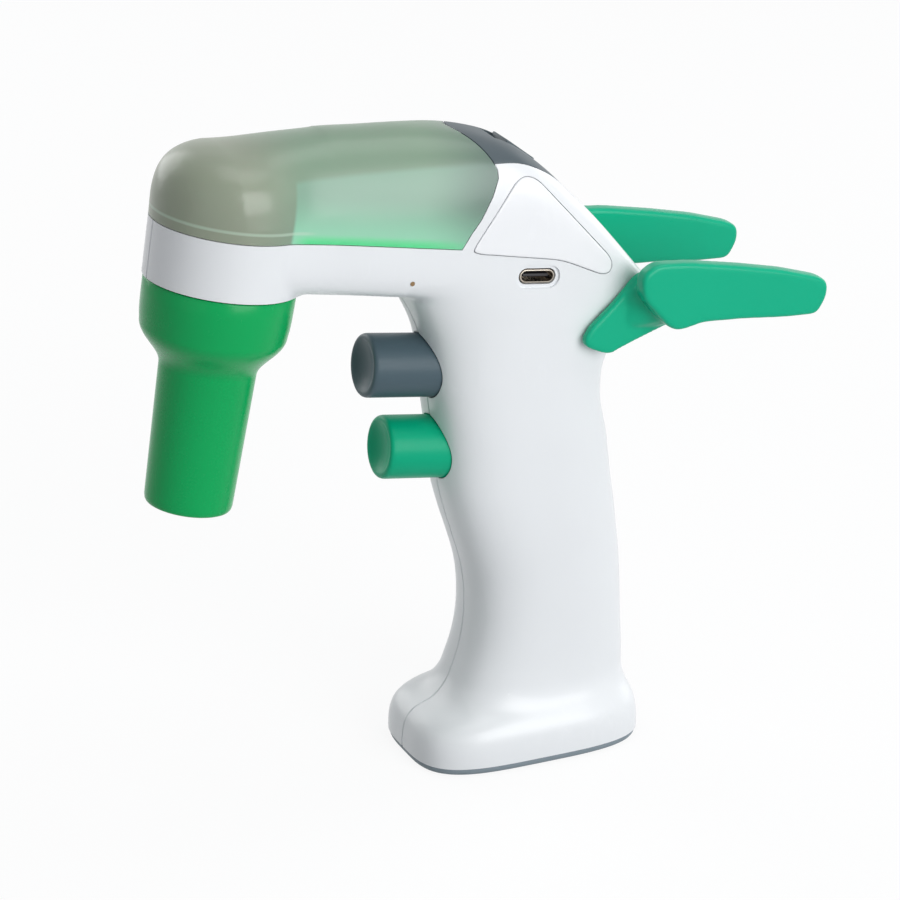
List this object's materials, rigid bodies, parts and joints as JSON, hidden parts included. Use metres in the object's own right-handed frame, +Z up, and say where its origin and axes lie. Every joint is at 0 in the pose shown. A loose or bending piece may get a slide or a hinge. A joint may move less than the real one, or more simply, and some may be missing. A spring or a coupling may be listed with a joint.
{
  "type": "motorized pipette controller",
  "caption": "Pistol-grip motorized pipette controller: two trigger valves, a speed slider, an unscrewing nosepiece with silicone pipette holder, and a rear bench stand.",
  "frame": {"origin": "centre of the foot's underside, on the surface it stands on", "axes": "+Z up, -X towards the nose, +Y towards the controller's right side"},
  "size_m": [0.1656, 0.0498, 0.163],
  "materials": {
    "shell_white": "satin moulded",
    "frosted_cover": "frosted translucent plastic",
    "green_gloss": "gloss moulded",
    "stand_green": "gloss moulded",
    "trigger_green": "satin gloss moulded",
    "slate_grey": "satin moulded",
    "sole_grey": "fine matte",
    "badge_white": "smooth",
    "black_plastic": "moulded",
    "natural_plastic": "moulded",
    "silicone": "soft translucent",
    "seal_rubber": "soft",
    "steel": "bright",
    "brass": "machined",
    "cell_sleeve": "shrink sleeve",
    "board_green": "solder mask",
    "wire_red": "insulation",
    "lens_amber": "clear"
  },
  "bodies": {
    "housing": {"left_shell": "shell_white", "right_shell": "shell_white", "top_cover": "frosted_cover", "light_guide": "green_gloss", "selector_trim": "slate_grey", "speed_switch": "black_plastic", "left_badge": "badge_white", "right_badge": "badge_white", "rear_stand": "stand_green", "base_plate": "sole_grey", "base_screws": "steel", "shell_screws": "steel", "nose_socket": "natural_plastic", "nose_seal": "seal_rubber", "aspirate_spring": "steel", "dispense_spring": "steel", "aspirate_guide": "black_plastic", "dispense_guide": "black_plastic", "aspirate_switch": "black_plastic", "dispense_switch": "black_plastic", "valve_block": "natural_plastic", "pump_motor": "steel", "pump_head": "black_plastic", "motor_saddle": "black_plastic", "battery_cell": "cell_sleeve", "battery_cradle": "black_plastic", "battery_contacts": "brass", "battery_leads": "wire_red", "main_board": "board_green", "usb_port": "steel", "indicator_lens": "lens_amber", "suction_tube": "silicone", "pressure_tube": "silicone", "nose_tube": "silicone"},
    "slider": {"speed_slider": "slate_grey"},
    "aspirate_trigger": {"aspirate_button": "slate_grey", "aspirate_stem": "brass"},
    "dispense_trigger": {"dispense_button": "trigger_green", "dispense_stem": "brass"},
    "nose_insert": {"pipette_holder": "silicone", "filter_capsule": "natural_plastic"},
    "nosepiece": {"nose_cone": "green_gloss"},
    "pump_rotor": {"pump_shaft": "steel"}
  },
  "joints": [
    {"name": "aspirate_press", "type": "slide", "parent": "housing", "child": "aspirate_trigger", "axis": [0.9903, 0, -0.1392], "range_m": [0, 0.004], "stiffness_N_per_m": 500, "springref_m": -0.002, "deforming": ["aspirate_spring"]},
    {"name": "dispense_press", "type": "slide", "parent": "housing", "child": "dispense_trigger", "axis": [0.9903, 0, -0.1392], "range_m": [0, 0.004], "stiffness_N_per_m": 500, "springref_m": -0.002, "deforming": ["dispense_spring"]},
    {"name": "speed_slide", "type": "slide", "parent": "housing", "child": "slider", "axis": [0.788, 0, -0.6157], "range_m": [-0.0025, 0.0025]},
    {"name": "nose_advance", "type": "slide", "parent": "housing", "child": "nose_insert", "axis": [-0.1736, 0, -0.9848], "range_m": [0, 0.0045]},
    {"name": "nose_twist", "type": "hinge", "parent": "nose_insert", "child": "nosepiece", "pos_m": [-0.0745, 0, 0.1298], "axis": [-0.1736, 0, -0.9848], "range_deg": [0, 540]},
    {"name": "pump_spin", "type": "hinge", "parent": "housing", "child": "pump_rotor", "pos_m": [-0.013, 0, 0.1422], "axis": [-1, 0, 0], "continuous": true}
  ],
  "couplings": [
    {"joint": "nose_advance", "follows": "nose_twist", "m_per_rad": 0.000477}
  ]
}
